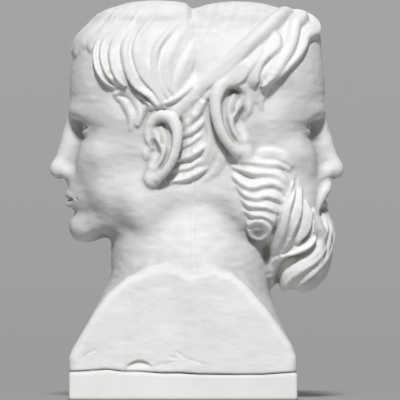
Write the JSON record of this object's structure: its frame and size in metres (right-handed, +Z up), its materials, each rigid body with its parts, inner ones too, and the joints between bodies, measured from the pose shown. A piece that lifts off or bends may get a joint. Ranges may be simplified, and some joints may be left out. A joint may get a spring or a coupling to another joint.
{
  "type": "double herm bust",
  "caption": "Marble double herm: a clean-shaven head and a bearded head back to back on one flat-sided bust block with an arched top edge, standing on a plain plinth.",
  "frame": {"origin": "centre of the plinth's underside", "axes": "+Z up; the clean-shaven head looks along -X, the bearded head along +X; the flat sides face -Y and +Y"},
  "size_m": [0.3109, 0.1926, 0.4217],
  "materials": {
    "bust_marble": "matt, finely worn",
    "plinth_marble": "matt, smoothly rubbed"
  },
  "bodies": {
    "root": {"herm_bust": "bust_marble", "plinth": "plinth_marble"}
  },
  "joints": []
}
